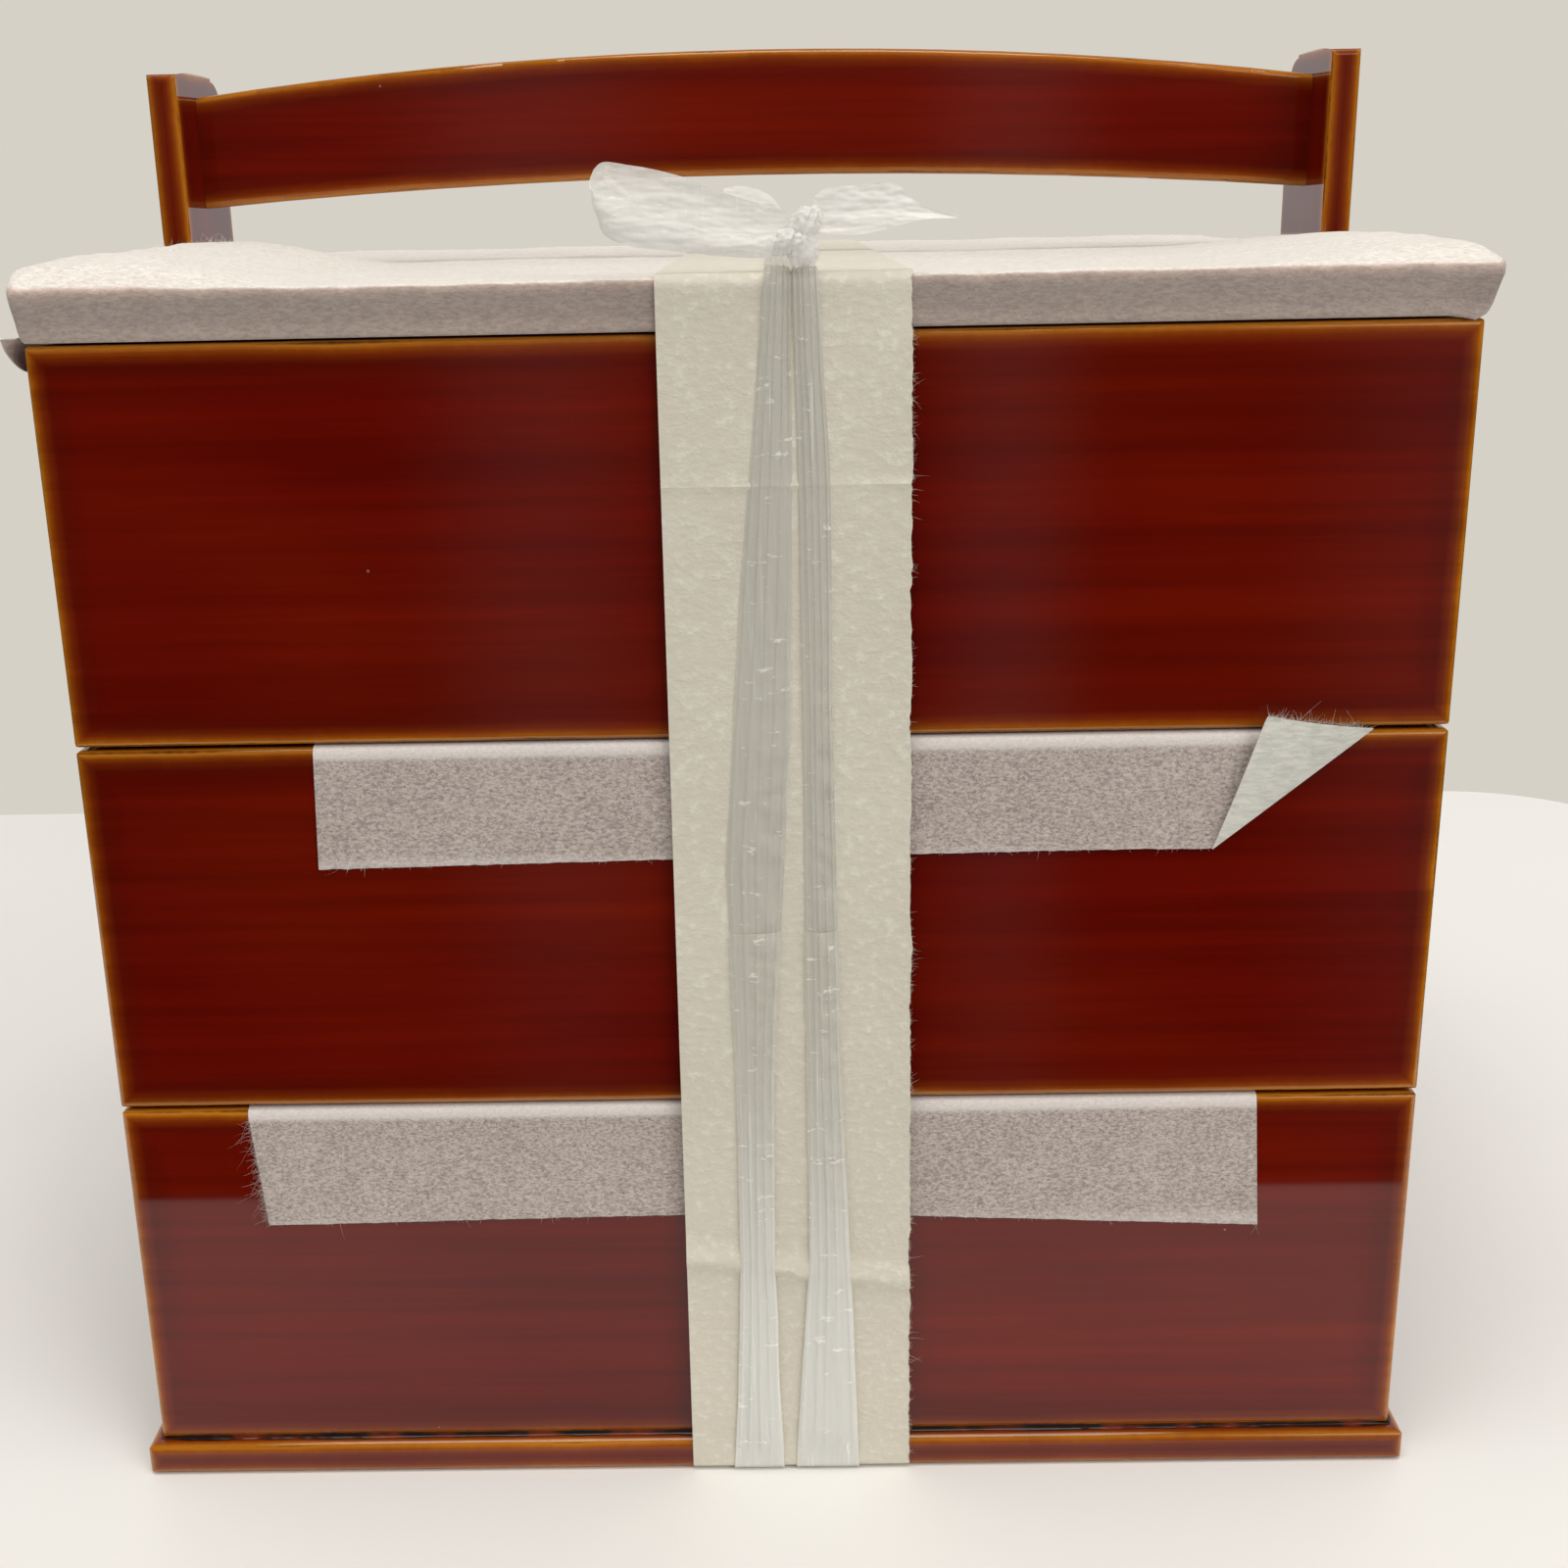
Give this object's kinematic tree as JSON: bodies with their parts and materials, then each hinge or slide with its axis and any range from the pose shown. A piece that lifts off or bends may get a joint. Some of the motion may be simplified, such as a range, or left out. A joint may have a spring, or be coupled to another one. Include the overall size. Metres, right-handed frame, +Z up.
{
  "type": "stacking food box",
  "caption": "Stacking lacquered food box with square tiers and a lid, carried in a frame with an arched handle, tied with a paper band and flat tape.",
  "frame": {"origin": "centre of the footprint, on the surface that the box stands on", "axes": "+X to the object's right seen from the front, +Y to its back, +Z up"},
  "size_m": [0.2054, 0.201, 0.2174],
  "materials": {
    "lacquer": "clear amber lacquer, glossy, over wood dyed red, rubbed thin to amber along every edge",
    "peg_wood": "bare split bamboo",
    "tissue": "matt fibrous non-woven sheet",
    "band_paper": "matt thick soft paper",
    "tape_film": "satin, see-through stretched film"
  },
  "bodies": {
    "carrier": {"base_board": "lacquer", "bottom_front": "lacquer", "bottom_back": "lacquer", "bottom_left": "lacquer", "bottom_right": "lacquer", "bottom_floor": "lacquer", "left_post": "lacquer", "right_post": "lacquer", "handle": "lacquer", "post_pegs": "peg_wood", "lower_slip": "tissue", "band_base": "band_paper", "tape_base": "tape_film"},
    "middle_tier": {"middle_front": "lacquer", "middle_back": "lacquer", "middle_left": "lacquer", "middle_right": "lacquer", "middle_floor": "lacquer", "middle_lip": "lacquer", "upper_slip": "tissue", "band_middle": "band_paper", "tape_middle": "tape_film"},
    "top_tier": {"top_front": "lacquer", "top_back": "lacquer", "top_left": "lacquer", "top_right": "lacquer", "top_floor": "lacquer", "top_lip": "lacquer", "band_top": "band_paper", "tape_top": "tape_film"},
    "lid": {"lid_panel": "lacquer", "lid_lip": "lacquer", "lid_wrap": "tissue", "band_lid": "band_paper", "tape_lid": "tape_film", "knot": "tape_film", "bow": "tape_film"}
  },
  "joints": [
    {"name": "middle_tier_lift", "type": "slide", "parent": "carrier", "child": "middle_tier", "axis": [0, 0, 1], "range_m": [0, 0.003]},
    {"name": "top_tier_lift", "type": "slide", "parent": "middle_tier", "child": "top_tier", "axis": [0, 0, 1], "range_m": [0, 0.003]},
    {"name": "lid_lift", "type": "slide", "parent": "top_tier", "child": "lid", "axis": [0, 0, 1], "range_m": [0, 0.0034]}
  ]
}
